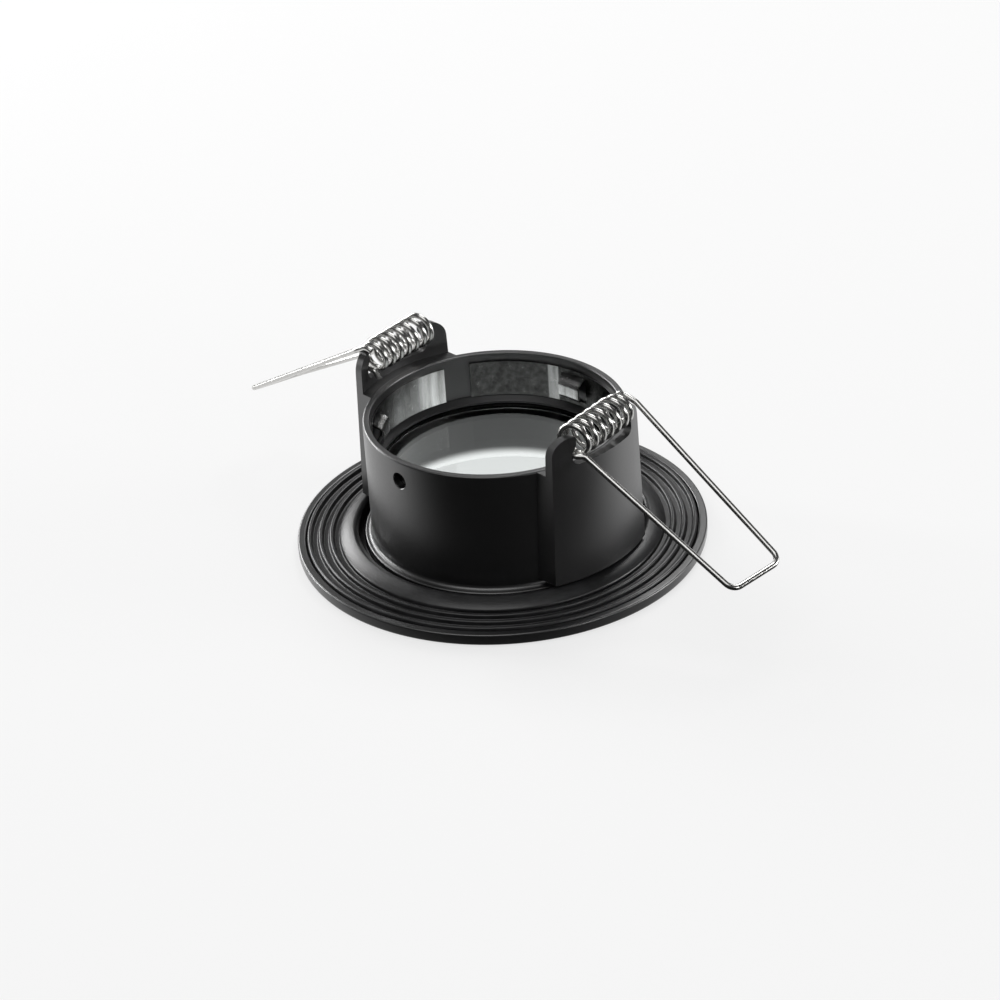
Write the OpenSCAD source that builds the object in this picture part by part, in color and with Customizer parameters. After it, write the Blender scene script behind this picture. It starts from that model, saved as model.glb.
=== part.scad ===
// Recessed soffit downlight: a cast housing with two ears that each carry a wire spring clip.
// Origin: centre of the trim's front face. +Z points up into the ceiling void, +X through the ears.

/* [Lens] */
// Diameter of the glass lens
lens_d = 50; // [45:0.5:60]
// Thickness of the glass lens
lens_t = 4; // [3:0.1:5]
// Bevel round the lens
lens_bevel = 0.3; // [0.1:0.1:0.5]
// Height of the seat that the lens lies on
seat_z = 14.3; // [12:0.1:20]
// Thickness of the seat's ledge
seat_t = 1.2; // [0.8:0.1:2]
// Width of that ledge under the lens
seat_w = 2.7; // [1.5:0.1:4]
// Width of the seal between the lens and the can
seal_w = 0.9; // [0.6:0.05:1.5]
// How far the seal's lip reaches in over the lens
lip_w = 0.7; // [0.4:0.1:1]
// Thickness of the lip at its inner edge
lip_t = 0.5; // [0.3:0.1:0.7]
// Height of the seal above the lens, at the can's wall
lip_rise = 1.5; // [1:0.1:2]

/* [Lamp retainer] */
// Width of the spring strip inside the can
strip_h = 8; // [6:0.1:12]
// Thickness of the strip
strip_t = 0.4; // [0.3:0.05:0.6]
// Direction of the middle of the gap between its ends
gap_at = 154.5; // [140:0.5:165]
// Angle that the gap spans
gap_angle = 13; // [8:0.5:20]
// Direction of the first of three tabs
tab_at = 94.5; // [85:0.5:100]
// Angle that each tab's window spans
tab_angle = 15; // [10:0.5:18]
// Height of each tab's window
tab_h = 5.6; // [4:0.1:6]
// How far each tab is bent in
tab_in = 2; // [1:0.1:2.5]

/* [Housing] */
// Thickness of the can's wall
can_t = 1.5; // [1.2:0.1:2.5]
// How far the can's rim stands above the strip inside it
rim_over = 1.85; // [1:0.05:4]
// Bevel on both edges of the rim
rim_bevel = 0.3; // [0.1:0.1:0.5]
// Width of the raised step round the can's foot
foot_w = 1.5; // [1.2:0.1:2.5]
// Height of that step above the front face
foot_z = 3.4; // [2.6:0.1:3.8]
// Radius of the fillet from the step to the can
foot_fillet = 0.9; // [0.3:0.1:1.1]
// Bore of the hole in the can's side
side_hole_d = 3.4; // [2:0.1:4]
// Depth of that hole's centre below the rim
side_hole_below = 4.5; // [3:0.1:6]

/* [Reflector] */
// Thickness of the spun reflector
reflector_t = 0.5; // [0.4:0.05:0.6]
// How far the front opening's edge lies inside the can's foot
front_w = 0.45; // [0.4:0.05:0.8]
// Height where the steep front flare meets the long cone
flare_z = 4.4; // [4:0.1:5]
// Thickness of the can behind the flare's upper edge
flare_w = 1.02; // [0.8:0.02:1.3]
// Width of the reflector's rolled edge on the front face
roll_w = 1.6; // [1:0.1:2.2]
// Depth of the recess for that edge
roll_t = 0.7; // [0.6:0.05:0.9]

/* [Trim] */
// Thickness of the trim's plate
trim_t = 1.4; // [1:0.1:1.8]
// Width of the raised edge round the trim
edge_w = 1.7; // [1.2:0.1:2.2]
// Height of that raised edge above the front face
edge_h = 2.7; // [2.2:0.1:3.2]
// Radius of the trim's lower outer edge
edge_r = 1; // [0.5:0.1:1.3]

/* [Ceiling gasket] */
// Gap between the can's foot and the gasket
foot_gap = 1.3; // [0.5:0.1:2]
// Width of the gasket's raised collar
collar_w = 4.2; // [3:0.1:6]
// Height of the collar's inner edge above the front face
collar_z = 4.4; // [3.6:0.1:4.7]
// Height of the collar's outer edge above the front face
collar_edge_z = 3.4; // [3:0.1:3.6]
// Width of the ribbed band outside the collar
band_w = 7; // [6:0.1:14]
// Height of the gasket's web between the ribs
web_z = 2.1; // [1.9:0.1:2.4]
// Height of the ribs above the front face
rib_z = 3.1; // [2.8:0.1:3.3]
// Width of a rib at its top
rib_w = 0.8; // [0.5:0.1:1]
// Slope of a rib's sides, as extra width at its foot
rib_flare = 0.4; // [0.2:0.1:0.6]
// Number of ribs
ribs = 3; // [2:1:3]

/* [Ears] */
// Height of the ears above the can's rim
ear_rise = 7.9; // [7:0.1:9]
// Height of the ears' feet above the gasket's collar
ear_lift = 0.6; // [0.3:0.1:2]
// How far the ears' tops stand out from the can
ear_out = 3.8; // [3.4:0.1:4.4]
// Width of a post at its top, beside the far end of the coil
post_w = 2.76; // [2.6:0.02:4]
// Draft of the ears' side faces
ear_draft = 2.1; // [0:0.1:3]
// Draft of the ears' outer faces
face_draft = 1.1; // [0:0.1:2]
// Radius of an ear's top corners
ear_corner = 3.8; // [2:0.1:4]
// Thickness of the plate that stands above the can's rim
plate_t = 1.6; // [1.3:0.1:1.9]
// Gap between the notch's floor and the coil
notch_gap = 1.35; // [1:0.05:2]
// Radius of the notch's lower corners
notch_r = 1.5; // [0.5:0.1:1.8]
// Height of the hooks at the posts' tops
hook_h = 2.4; // [2:0.1:3]
// How far each hook reaches in over the notch
hook_w = 0.9; // [0.4:0.1:1]

/* [Spring clips] */
// Diameter of the spring wire
wire_d = 1.2; // [1:0.05:1.25]
// Distance of a coil's axis inwards from the ear's outer face
coil_in = 2.4; // [2:0.1:2.8]
// Depth of a coil's axis below the ear's top
coil_below = 1.25; // [1:0.05:1.5]
// Radius of a coil at the middle of its wire
coil_r = 3.2; // [3.1:0.05:3.3]
// Turns in a coil
coil_turns = 7; // [6:1:7]
// How much a clip is turned on its ear, seen from above
clip_skew = 7; // [5:0.5:8]
// Where a coil starts, along its axis from the middle of the ear
coil_from = 6.9; // [6.7:0.05:7]
// Where a coil ends, on the other side of the middle
coil_to = 8.3; // [8:0.05:8.4]
// How far the bail's near end lies past the coil's start
bail_step = 0.5; // [0.4:0.05:0.7]
// How far the turns crowd together at both ends
coil_crowd = 0.2; // [0:0.05:0.25]
// Length of the straight tail that bears on the housing
tail_len = 3.4; // [2:0.1:3.8]
// Steepness of the tail
tail_angle = 49; // [40:1:55]
// Reach of the bail's far corner from the coil's axis
bail_reach = 40.4; // [36:0.2:44]
// How much less the near corner reaches
bail_short = 2.6; // [0:0.1:4]
// How far the bail's far corner lies below the coil's axis
bail_drop = 20.55; // [19:0.05:24]
// How much lower the near corner lies
bail_dip = 1.1; // [0:0.1:2]
// Place of the far corner along the coil's axis
crossbar_to = 5.4; // [4:0.1:8]
// Place of the near corner, on the other side of the middle
crossbar_from = 7.4; // [4:0.1:8]
// Radius of the bail's bends
bend_r = 2.2; // [1.6:0.1:3]
// Width over which the bail crosses the ear's post, along the coil's axis
saddle_w = 0.3; // [0.2:0.05:0.6]

/* [Fits] */
// Gap all round the lens
lens_gap = 0.05; // [0.02:0.01:0.2]
// Gap between the seal or the strip and the can
bore_gap = 0.05; // [0.02:0.01:0.2]
// Gap between the reflector and its cone in the housing
cone_gap = 0.08; // [0.05:0.01:0.2]
// Gap between the gasket and the trim's edge
gasket_gap = 0.2; // [0.1:0.05:0.4]
// Gap between the moving bail and the fixed coil
clip_gap = 0.35; // [0.3:0.01:0.5]

/* [Hidden] */
$fn = 64;
over = 1;
// Radii, from the lens outwards
lens_r = lens_d / 2;
seat_r = lens_r - seat_w;
bore_r = lens_r + lens_gap + seal_w + bore_gap;
can_r = bore_r + can_t;
foot_r = can_r + foot_w;
front_r = foot_r - front_w;
flare_r = can_r - flare_w - cone_gap - reflector_t;
gasket_inner_r = foot_r + foot_gap;
collar_r = gasket_inner_r + collar_w;
gasket_r = collar_r + band_w;
channel_r = gasket_r + gasket_gap;
trim_r = channel_r + edge_w;
ear_r = can_r + ear_out;
plate_inner_r = ear_r - plate_t;
coil_x = ear_r - coil_in;
strip_r = bore_r - bore_gap;
// Inner edge of the reflector at its top, just outside the seat's opening
cone_top_r = seat_r + lens_bevel;
// Heights, from the front face up
cone_top_z = seat_z - seat_t;
lens_top = seat_z + lens_t;
seal_top = lens_top + lip_rise;
strip_z = seal_top + bore_gap;
rim_z = strip_z + strip_h + rim_over;
side_hole_z = rim_z - side_hole_below;
ear_foot = collar_z + ear_lift;
ear_top = rim_z + ear_rise;
coil_z = ear_top - coil_below;
wire_r = wire_d / 2;
notch_z = coil_z - coil_r - wire_r - notch_gap;
hook_z = ear_top - hook_h;
// Sides of the notch: it is set over to where the coil ends
bail_end = coil_from + bail_step;
notch_from = -bail_end * cos(clip_skew) - wire_r - clip_gap;
notch_to = coil_to * cos(clip_skew) + wire_d;
ear_half = notch_to + post_w;
// Segments along and round the swept wires
curl_rings = 8;
wire_sides = 6;
bail_sides = 8;
tail_steps = 3;
bend_steps = 5;
corner_steps = 8;
// Place of each rib in its share of the ribbed band
rib_share = 0.72;
// Part of a tab's window that the tab itself spans
tab_share = 0.8;

// A tube of radius r along a list of points, closed at both ends
function unit(v) = v / norm(v);
function tangent(p, i) = unit(p[min(i + 1, len(p) - 1)] - p[max(i - 1, 0)]);
function side_of(n, t) = unit(n - (n * t) * t);
function frames(p, n0) = [for (i = 0, n = side_of(n0, tangent(p, 0)); i < len(p);
    i = i + 1, n = side_of(n, tangent(p, min(i, len(p) - 1)))) n];
module tube(p, r, n0, sides = wire_sides) {
    f = frames(p, n0);
    rings = [for (i = [0:len(p) - 1], k = [0:sides - 1])
        let (a = 360 * k / sides) p[i] + r * (cos(a) * f[i] + sin(a) * cross(tangent(p, i), f[i]))];
    skin = [for (i = [0:len(p) - 2], k = [0:sides - 1])
        let (a = i * sides + k, b = i * sides + (k + 1) % sides)
        each [[a, a + sides, b], [b, a + sides, b + sides]]];
    last = (len(p) - 1) * sides;
    caps = [for (k = [1:sides - 2]) each [[0, k, k + 1], [last, last + k + 1, last + k]]];
    polyhedron(points = rings, faces = concat(skin, caps));
}

// Points of an arc of radius r that rounds the corner b between a and c
function rounded(a, b, c, r) =
    let (u = unit(a - b), w = unit(c - b), half = acos(u * w) / 2,
        mid = b + unit(u + w) * r / sin(half), n = unit(b - mid), m = side_of(u - w, n))
    [for (i = [0:bend_steps]) let (t = (90 - half) * (1 - 2 * i / bend_steps))
        mid + r * (cos(t) * n + sin(t) * m)];

// Places on a clip are given along three lines: outward from its axis, along its axis, and up
function coil_point(turn, s) = [-coil_r * sin(360 * turn), s, -coil_r * cos(360 * turn)];
function coil_place(turn) =
    let (share = turn / coil_turns)
    -coil_from + (coil_from + coil_to) * share - coil_crowd * sin(360 * share);
// The first ring stands clear of the bail's end, which lies in line with it
coil_start = clip_gap / (PI * coil_r);
coil_rings = coil_turns * curl_rings;
coil_path = [for (i = [0:coil_rings])
    let (turn = max(coil_start, i / curl_rings)) coil_point(turn, coil_place(turn))];
coil_end = coil_path[len(coil_path) - 1];
tail_dir = [-cos(tail_angle), 0, -sin(tail_angle)];
tail_path = [for (k = [1:tail_steps]) coil_end + tail_dir * tail_len * k / tail_steps];

// The wire's least gap to itself, measured on points all along it
gap_fine = 16;
gap_steps = gap_fine * coil_turns;
gap_points = [for (i = [0:gap_steps]) coil_point(i / gap_fine, coil_place(i / gap_fine))];
coil_gap = min([for (i = [0:gap_steps], j = [i + gap_fine / 2:1:gap_steps])
    norm(gap_points[i] - gap_points[j])]) - wire_d;
echo(least_gap_between_coil_turns = coil_gap);

// The bail's wire: over the post, down to the crossbar, and back in through the notch
saddle_up = 45;
saddle_back = 100;
saddle_end = coil_to + wire_d + clip_gap;
saddle_at = saddle_end + saddle_w;
saddle = [for (i = [0:bend_steps]) let (share = i / bend_steps, a = saddle_back + (saddle_up - saddle_back) * share)
    [coil_r * cos(a), saddle_end + (saddle_at - saddle_end) * share, coil_r * sin(a)]];
saddle_corner = saddle[bend_steps] + [wire_d * sin(saddle_up), 0, -wire_d * cos(saddle_up)];
far_corner = [bail_reach, crossbar_to, -bail_drop];
near_corner = [bail_reach - bail_short, -crossbar_from, -bail_drop - bail_dip];
notch_corner = [coil_r - wire_d, -bail_end + wire_r / 2, -coil_r];
wire_end = [0, -bail_end, -coil_r];
bail_path = concat([for (i = [0:bend_steps - 1]) saddle[i]],
    rounded(saddle[bend_steps - 1], saddle_corner, far_corner, wire_d),
    rounded(saddle_corner, far_corner, near_corner, bend_r),
    rounded(far_corner, near_corner, notch_corner, bend_r),
    rounded(near_corner, notch_corner, wire_end, bend_r),
    [wire_end]);

module at_clip() {
    translate([coil_x, 0, coil_z]) rotate([0, 0, clip_skew]) children();
}

// The can, its foot and the trim in section
module housing_section() {
    difference() {
        polygon([
            [front_r + roll_w, 0],
            [trim_r, 0],
            [trim_r, edge_h],
            [channel_r, edge_h],
            [channel_r, trim_t],
            [foot_r, trim_t],
            [foot_r, foot_z],
            [can_r + foot_fillet, foot_z],
            [can_r, foot_z + foot_fillet],
            [can_r, rim_z - rim_bevel],
            [can_r - rim_bevel, rim_z],
            [bore_r + rim_bevel, rim_z],
            [bore_r, rim_z - rim_bevel],
            [bore_r, seat_z],
            [seat_r, seat_z],
            [seat_r, cone_top_z],
            [cone_top_r + reflector_t + cone_gap, cone_top_z],
            [flare_r + reflector_t + cone_gap, flare_z],
            [front_r + reflector_t + cone_gap, roll_t],
            [front_r + roll_w, roll_t]
        ]);
        difference() {
            translate([trim_r - edge_r, -over]) square([edge_r + over, edge_r + over]);
            translate([trim_r - edge_r, edge_r]) circle(r = edge_r);
        }
        translate([can_r + foot_fillet, foot_z + foot_fillet]) circle(r = foot_fillet);
    }
}

// An ear in outline, seen from the side of the lamp
module ear_outline() {
    grow = tan(ear_draft) * (ear_top - ear_corner - ear_foot + over);
    corner = [for (i = [0:corner_steps]) let (a = 90 * i / corner_steps)
        [ear_half - ear_corner * (1 - cos(a)), ear_top - ear_corner * (1 - sin(a))]];
    mirrored = [for (i = [0:corner_steps]) let (p = corner[corner_steps - i]) [-p[0], p[1]]];
    polygon(concat([[ear_half + grow, ear_foot - over]], corner, mirrored,
        [[-ear_half - grow, ear_foot - over]]));
}

// The notch for the coil: the posts on both sides reach in over it
module notch_outline() {
    translate([notch_from + hook_w, notch_z + notch_r])
        square([notch_to - notch_from - 2 * hook_w, ear_top - notch_z]);
    translate([notch_from, notch_z + notch_r])
        square([notch_to - notch_from, hook_z - notch_z - notch_r]);
    translate([notch_from + notch_r, notch_z])
        square([notch_to - notch_from - 2 * notch_r, 2 * notch_r]);
}

module notch_corners() {
    for (y = [notch_from + notch_r, notch_to - notch_r])
        translate([y, notch_z + notch_r]) circle(r = notch_r);
}

// An ear in radial section: a rib on the can, then the plate that stands above the rim
module ear_section() {
    slope = tan(face_draft);
    polygon([
        [can_r - can_t / 2, ear_foot],
        [ear_r + slope * (ear_top - ear_foot), ear_foot],
        [ear_r - slope * over, ear_top + over],
        [plate_inner_r, ear_top + over],
        [plate_inner_r, rim_z - rim_bevel / 2],
        [can_r - can_t / 2, rim_z - rim_bevel / 2]
    ]);
}

module ear() {
    difference() {
        intersection() {
            rotate_extrude() ear_section();
            through_ear() ear_outline();
        }
        through_ear() notch_outline();
        through_ear() notch_corners();
    }
}

// Carries an outline through the right ear, seen from its outer side
module through_ear() {
    rotate([90, 0, 90]) linear_extrude(height = 2 * ear_r) children();
}

module housing() {
    color([0.10, 0.10, 0.105])
    difference() {
        union() {
            rotate_extrude() housing_section();
            ear();
            rotate([0, 0, 180]) ear();
        }
        translate([0, -bore_r + over, side_hole_z])
            rotate([90, 0, 0]) cylinder(h = can_t + 2 * over, d = side_hole_d);
    }
}

// Rubber ring on the trim: a raised collar round the can, then concentric ribs
module ceiling_gasket() {
    pitch = (gasket_r - collar_r) / ribs;
    color([0.13, 0.13, 0.13])
    rotate_extrude() {
        polygon([
            [gasket_inner_r, trim_t],
            [collar_r, trim_t],
            [collar_r, collar_edge_z - rib_flare / 2],
            [collar_r - rib_flare / 2, collar_edge_z],
            [gasket_inner_r + rib_flare, collar_z],
            [gasket_inner_r, collar_z - rib_flare]
        ]);
        translate([collar_r - over / 2, trim_t]) square([gasket_r - collar_r + over / 2, web_z - trim_t]);
        for (i = [0:ribs - 1])
            translate([collar_r + (i + rib_share) * pitch, 0])
                polygon([
                    [-rib_w / 2 - rib_flare / 2, trim_t],
                    [rib_w / 2 + rib_flare / 2, trim_t],
                    [rib_w / 2, rib_z],
                    [-rib_w / 2, rib_z]
                ]);
    }
}

// Spun cone with a rolled edge that lies in the trim's recess
module front_reflector() {
    roll_r = front_r + roll_w - cone_gap;
    color([0.72, 0.72, 0.73])
    rotate_extrude()
        polygon([
            [front_r, cone_gap],
            [roll_r, cone_gap],
            [roll_r, roll_t - cone_gap],
            [front_r + reflector_t, roll_t - cone_gap],
            [flare_r + reflector_t, flare_z],
            [cone_top_r + reflector_t, cone_top_z - cone_gap],
            [cone_top_r, cone_top_z - cone_gap],
            [flare_r, flare_z]
        ]);
}

module glass_lens() {
    color([0.80, 0.86, 0.86, 0.4])
    rotate_extrude()
        polygon([
            [0, seat_z],
            [lens_r - lens_bevel, seat_z],
            [lens_r, seat_z + lens_bevel],
            [lens_r, lens_top - lens_bevel],
            [lens_r - lens_bevel, lens_top],
            [0, lens_top]
        ]);
}

// Ring round the lens, with a sloping lip that presses on the glass
module lens_seal() {
    color([0.08, 0.08, 0.08])
    rotate_extrude()
        polygon([
            [lens_r + lens_gap, seat_z],
            [bore_r - bore_gap, seat_z],
            [bore_r - bore_gap, seal_top],
            [lens_r - lip_w, lens_top + lens_gap + lip_t],
            [lens_r - lip_w, lens_top + lens_gap],
            [lens_r + lens_gap, lens_top + lens_gap]
        ]);
}

// Spring strip bent to a ring that is open on one side, with three tabs bent inwards
module lamp_retainer() {
    tab_step = 120;
    tab_z = strip_z + (strip_h - tab_h) / 2 - strip_t;
    color([0.78, 0.78, 0.78])
    union() {
        difference() {
            rotate([0, 0, gap_at + gap_angle / 2])
                rotate_extrude(angle = 360 - gap_angle)
                    translate([strip_r - strip_t, strip_z]) square([strip_t, strip_h]);
            for (i = [0:2])
                rotate([0, 0, tab_at + i * tab_step - tab_angle / 2])
                    rotate_extrude(angle = tab_angle)
                        translate([strip_r - strip_t - over / 2, tab_z]) square([strip_t + over, tab_h]);
        }
        for (i = [0:2])
            rotate([0, 0, tab_at + i * tab_step - tab_angle / 2])
                translate([strip_r - strip_t / 2, 0, tab_z + strip_t])
                    rotate([0, 0, 90 + tab_angle / 2]) retainer_tab();
    }
}

// One tab: rooted in the strip at the window's side, it leans in across the window
module retainer_tab() {
    reach = 2 * strip_r * sin(tab_angle / 2) * tab_share;
    lean = asin(tab_in / reach);
    rotate([0, 0, lean - tab_angle / 4])
        translate([-strip_t, 0, 0])
            cube([reach, strip_t, tab_h - 2 * strip_t]);
}

module spring() {
    color([0.80, 0.80, 0.80])
    at_clip() tube(concat(coil_path, tail_path), wire_r, [0, 1, 0]);
}

module bail() {
    color([0.80, 0.80, 0.80])
    at_clip() tube(bail_path, wire_r, [0, 1, 0], bail_sides);
}

module right_spring() { spring(); }
module left_spring() { rotate([0, 0, 180]) spring(); }
module right_bail() { bail(); }
module left_bail() { rotate([0, 0, 180]) bail(); }

housing();
ceiling_gasket();
front_reflector();
glass_lens();
lens_seal();
lamp_retainer();
right_spring();
left_spring();
right_bail();
left_bail();
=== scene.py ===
import math

import bmesh
import bpy
from mathutils import Matrix, Vector


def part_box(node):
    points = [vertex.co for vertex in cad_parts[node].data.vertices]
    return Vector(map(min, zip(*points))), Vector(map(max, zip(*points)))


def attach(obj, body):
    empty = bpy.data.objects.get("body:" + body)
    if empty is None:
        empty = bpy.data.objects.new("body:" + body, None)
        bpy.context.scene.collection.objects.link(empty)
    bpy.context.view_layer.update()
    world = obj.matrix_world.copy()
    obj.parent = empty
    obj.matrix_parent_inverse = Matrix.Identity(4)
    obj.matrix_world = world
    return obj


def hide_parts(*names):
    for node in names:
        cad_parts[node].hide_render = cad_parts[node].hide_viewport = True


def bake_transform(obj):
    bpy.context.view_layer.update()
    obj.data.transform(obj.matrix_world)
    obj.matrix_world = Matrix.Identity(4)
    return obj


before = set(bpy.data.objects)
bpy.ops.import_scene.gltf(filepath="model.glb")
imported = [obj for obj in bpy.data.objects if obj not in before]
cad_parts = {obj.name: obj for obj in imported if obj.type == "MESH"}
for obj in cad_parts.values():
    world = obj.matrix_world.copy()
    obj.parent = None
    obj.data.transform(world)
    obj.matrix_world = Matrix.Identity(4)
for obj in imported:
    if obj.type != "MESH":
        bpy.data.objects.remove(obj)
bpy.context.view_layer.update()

# Driving dimensions in millimetres, taken from the solids where these say them. MM turns them to metres
MM = 0.001
TRIM_R, TRIM_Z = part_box("housing")[1][1] / MM, 2.7
CHANNEL_R, CHANNEL_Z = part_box("ceiling_gasket")[1][0] / MM + 0.2, 1.4
FOOT_R, FOOT_Z = 29.0, 3.4
RECESS_R, RECESS_Z = 30.15, 0.7
SEAT_R, SEAT_LOW_Z, SEAT_Z = 22.3, 13.1, 14.3
CAN_R = 27.5
BORE_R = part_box("lens_seal")[1][0] / MM + 0.05
EAR_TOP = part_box("housing")[1][2] / MM
EAR_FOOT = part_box("ceiling_gasket")[1][2] / MM + 0.6
EAR_R = 31.3
EAR_HALF = 12.2
RIM_Z = EAR_TOP - 7.9
# The clip: its wire, its coil's middle line, and where the coil's axis lies on the ear
WIRE_R = 0.6
COIL_R = 3.2
COIL_X = EAR_R - 2.4
COIL_Z = EAR_TOP - 1.25
CLIP_SKEW = math.radians(7)


# Camera: where the photograph was taken from, in millimetres, and how it was turned

CAMERA_AT = (364.6, -337.8, 300.0)
CAMERA_AZIMUTH = math.radians(47.2)
CAMERA_ELEVATION = math.radians(30.41)
CAMERA_ROLL = math.radians(-3.75)
CAMERA_LENS = 98.42
CAMERA_SENSOR = 36


def make_camera():
    data = bpy.data.cameras.new("camera")
    data.lens = CAMERA_LENS
    data.sensor_width = CAMERA_SENSOR
    data.clip_start = 0.01
    camera = bpy.data.objects.new("camera", data)
    turn = (
        Matrix.Rotation(CAMERA_AZIMUTH, 4, "Z")
        @ Matrix.Rotation(math.pi / 2 - CAMERA_ELEVATION, 4, "X")
        @ Matrix.Rotation(CAMERA_ROLL, 4, "Z")
    )
    camera.matrix_world = Matrix.Translation(Vector(CAMERA_AT) * MM) @ turn
    bpy.context.scene.collection.objects.link(camera)
    bpy.context.scene.camera = camera


# Materials

def linear(colour):
    """An sRGB hex colour as linear red, green, blue and alpha."""
    parts = [int(colour[i:i + 2], 16) / 255 for i in (1, 3, 5)]
    return [p / 12.92 if p <= 0.04045 else ((p + 0.055) / 1.055) ** 2.4 for p in parts] + [1.0]


def per_metre(size):
    """The texture scale of a pattern that repeats about every size, in millimetres."""
    return 1 / (size * MM)


def heading(degrees):
    """A level direction, from +X towards +Y."""
    return Vector((math.cos(math.radians(degrees)), math.sin(math.radians(degrees)), 0))


def add(tree, kind, inputs=None, **settings):
    """Adds a node with its settings; inputs are values or the sockets that feed them, by name or number."""
    made = tree.nodes.new(kind)
    for name, value in settings.items():
        setattr(made, name, value)
    for name, value in (inputs or {}).items():
        if isinstance(value, bpy.types.NodeSocket):
            tree.links.new(value, made.inputs[name])
        else:
            made.inputs[name].default_value = value
    return made


def new_material(name):
    """An empty material, its node tree and the object's own coordinates."""
    material = bpy.data.materials.new(name)
    material.use_nodes = True
    tree = material.node_tree
    tree.nodes.clear()
    place = add(tree, "ShaderNodeTexCoord").outputs["Object"]
    return material, tree, place


def finish_material(material, tree, shader):
    """Puts the shader on the surface, and hands the material back."""
    add(tree, "ShaderNodeOutputMaterial", {"Surface": shader.outputs[0]})
    return material


def satin_powder_coat():
    """Satin black powder coat on die-cast aluminium: a fine orange peel that softens each highlight."""
    material, tree, place = new_material("satin_black_powder_coat")
    peel = add(tree, "ShaderNodeTexNoise", {"Vector": place, "Scale": per_metre(0.5), "Detail": 3.0})
    cloud = add(tree, "ShaderNodeTexNoise", {"Vector": place, "Scale": per_metre(9), "Detail": 2.0})
    colour = add(tree, "ShaderNodeMix", {"Factor": cloud.outputs["Fac"], "A": linear("#070708"),
                                         "B": linear("#0d0d0e")}, data_type="RGBA")
    rough = add(tree, "ShaderNodeMapRange", {"Value": peel.outputs["Fac"], "To Min": 0.31, "To Max": 0.41})
    bump = add(tree, "ShaderNodeBump", {"Height": peel.outputs["Fac"], "Distance": 0.012 * MM,
                                        "Strength": 0.5})
    shader = add(tree, "ShaderNodeBsdfPrincipled", {
        "Base Color": colour.outputs["Result"], "Roughness": rough.outputs["Result"],
        "Normal": bump.outputs["Normal"], "IOR": 1.6, "Specular IOR Level": 0.8})
    return finish_material(material, tree, shader)


# Along the gasket the mould's turning marks are five times as long as they are wide
RUBBER_STREAK = 5
RUBBER_MIDDLE_R = 36


def moulded_rubber():
    """Moulded black rubber with the mould's turning marks: fine streaks round the ring, and a grey bloom."""
    material, tree, place = new_material("moulded_black_rubber")
    parts = add(tree, "ShaderNodeSeparateXYZ", {"Vector": place})
    angle = add(tree, "ShaderNodeMath", {0: parts.outputs["Y"], 1: parts.outputs["X"]}, operation="ARCTAN2")
    along = add(tree, "ShaderNodeMath", {0: angle.outputs[0], 1: RUBBER_MIDDLE_R * MM / RUBBER_STREAK},
                operation="MULTIPLY")
    radius = add(tree, "ShaderNodeVectorMath", {0: place}, operation="LENGTH")
    rolled = add(tree, "ShaderNodeCombineXYZ", {"X": radius.outputs["Value"], "Y": along.outputs[0],
                                                "Z": parts.outputs["Z"]})
    grain = add(tree, "ShaderNodeTexNoise", {"Vector": rolled.outputs[0], "Scale": per_metre(0.4),
                                             "Detail": 4.0, "Roughness": 0.7})
    bloom = add(tree, "ShaderNodeTexNoise", {"Vector": place, "Scale": per_metre(6), "Detail": 3.0})
    mixed = add(tree, "ShaderNodeMath", {0: grain.outputs["Fac"], 1: bloom.outputs["Fac"]},
                operation="MULTIPLY")
    share = add(tree, "ShaderNodeMapRange", {"Value": mixed.outputs[0], "From Min": 0.16, "From Max": 0.42})
    colour = add(tree, "ShaderNodeMix", {"Factor": share.outputs["Result"], "A": linear("#0b0b0c"),
                                         "B": linear("#222223")}, data_type="RGBA")
    bump = add(tree, "ShaderNodeBump", {"Height": grain.outputs["Fac"], "Distance": 0.03 * MM,
                                        "Strength": 0.6})
    shader = add(tree, "ShaderNodeBsdfPrincipled", {
        "Base Color": colour.outputs["Result"], "Roughness": 0.37, "Normal": bump.outputs["Normal"],
        "IOR": 1.5, "Specular IOR Level": 0.5})
    return finish_material(material, tree, shader)


def silicone_seal():
    """Black silicone: smoother than the gasket, with a soft sheen."""
    material, tree, place = new_material("black_silicone")
    grain = add(tree, "ShaderNodeTexNoise", {"Vector": place, "Scale": per_metre(0.8), "Detail": 2.0})
    rough = add(tree, "ShaderNodeMapRange", {"Value": grain.outputs["Fac"], "To Min": 0.36, "To Max": 0.5})
    shader = add(tree, "ShaderNodeBsdfPrincipled", {
        "Base Color": linear("#1f1f20"), "Roughness": rough.outputs["Result"], "IOR": 1.5})
    return finish_material(material, tree, shader)


def plated_wire():
    """Nickel-plated spring wire: bright, with faint draw marks that blur what it mirrors."""
    material, tree, place = new_material("nickel_plated_spring_wire")
    marks = add(tree, "ShaderNodeTexNoise", {"Vector": place, "Scale": per_metre(0.7), "Detail": 3.0})
    rough = add(tree, "ShaderNodeMapRange", {"Value": marks.outputs["Fac"], "To Min": 0.2, "To Max": 0.3})
    tint = add(tree, "ShaderNodeMix", {"Factor": marks.outputs["Fac"], "A": linear("#9c9c9a"),
                                       "B": linear("#c0bfbd")}, data_type="RGBA")
    shader = add(tree, "ShaderNodeBsdfPrincipled", {
        "Base Color": tint.outputs["Result"], "Metallic": 1.0, "Roughness": rough.outputs["Result"]})
    return finish_material(material, tree, shader)


# The strip's face, and where painted reflections make it paler: by its end at the gap, and beside the back
# tongue, in degrees
STRIP_FACE_R = 25.55
END_REFLECTION_AT = 166
SECOND_REFLECTION_AT = 106.5
# A painted highlight makes the tongues bright: they are all that stands inside the first of these radii
TONGUE_HIGHLIGHT_FROM_R, TONGUE_HIGHLIGHT_TO_R = 24.9, 24.2


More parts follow.
